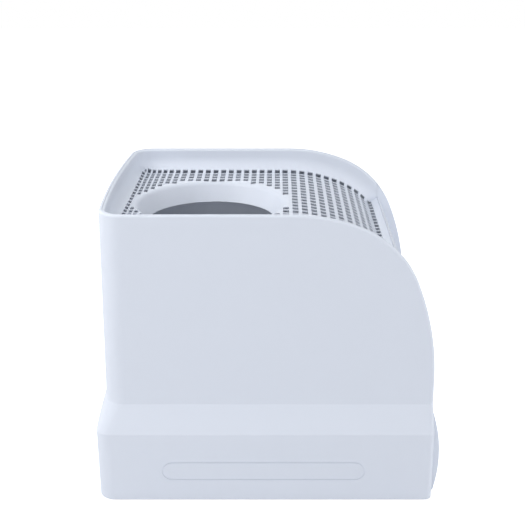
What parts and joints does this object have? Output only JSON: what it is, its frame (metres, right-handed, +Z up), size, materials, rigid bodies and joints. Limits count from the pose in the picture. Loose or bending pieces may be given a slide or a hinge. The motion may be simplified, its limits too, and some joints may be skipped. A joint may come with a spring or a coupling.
{
  "type": "drawer litter box",
  "caption": "Enclosed top-entry litter box: flared base with a slide-out drawer, tall housing, and a sunk sieve lid with a round entrance and a curved ramp.",
  "frame": {"origin": "middle of the footprint, on the floor under the feet", "axes": "+X towards the drawer front, +Y across to the far side wall, +Z up"},
  "size_m": [0.5264, 0.449, 0.451],
  "materials": {
    "shell": "satin moulded polypropylene, blue-white",
    "front": "satin moulded polypropylene, blue-white",
    "pan": "satin moulded polypropylene, dark grey",
    "roller": "smooth moulded acetal, grey",
    "pin": "drawn steel, zinc plated",
    "foot": "matte rubber"
  },
  "bodies": {
    "body_shell": {"base_shell": "shell", "hood": "shell", "mouth_roller_pins": "pin", "rubber_feet": "foot"},
    "drawer": {"litter_pan": "pan", "drawer_front": "front", "rear_roller_pins": "pin"},
    "lid": {"perforated_lid": "shell"},
    "mouth_roller_l": {"mouth_roller_left": "roller"},
    "mouth_roller_r": {"mouth_roller_right": "roller"},
    "rear_roller_l": {"rear_roller_left": "roller"},
    "rear_roller_r": {"rear_roller_right": "roller"}
  },
  "joints": [
    {"name": "drawer_slide", "type": "slide", "parent": "body_shell", "child": "drawer", "axis": [1, 0, 0], "range_m": [0, 0.33]},
    {"name": "lid_lift", "type": "slide", "parent": "body_shell", "child": "lid", "axis": [0, 0, 1], "range_m": [0, 0.15]},
    {"name": "mouth_roller_l_spin", "type": "hinge", "parent": "body_shell", "child": "mouth_roller_l", "pos_m": [0.212, 0.2071, 0.0977], "axis": [0, 1, 0], "range_deg": [0, 1900]},
    {"name": "mouth_roller_r_spin", "type": "hinge", "parent": "body_shell", "child": "mouth_roller_r", "pos_m": [0.212, -0.2071, 0.0977], "axis": [0, 1, 0], "range_deg": [0, 1900]},
    {"name": "rear_roller_l_spin", "type": "hinge", "parent": "drawer", "child": "rear_roller_l", "pos_m": [-0.215, 0.2054, 0.0963], "axis": [0, 1, 0], "range_deg": [0, 1900]},
    {"name": "rear_roller_r_spin", "type": "hinge", "parent": "drawer", "child": "rear_roller_r", "pos_m": [-0.215, -0.2054, 0.0963], "axis": [0, 1, 0], "range_deg": [0, 1900]}
  ],
  "couplings": [
    {"joint": "mouth_roller_l_spin", "follows": "drawer_slide", "rad_per_m": 100},
    {"joint": "mouth_roller_r_spin", "follows": "drawer_slide", "rad_per_m": 100},
    {"joint": "rear_roller_l_spin", "follows": "drawer_slide", "rad_per_m": 100},
    {"joint": "rear_roller_r_spin", "follows": "drawer_slide", "rad_per_m": 100}
  ]
}
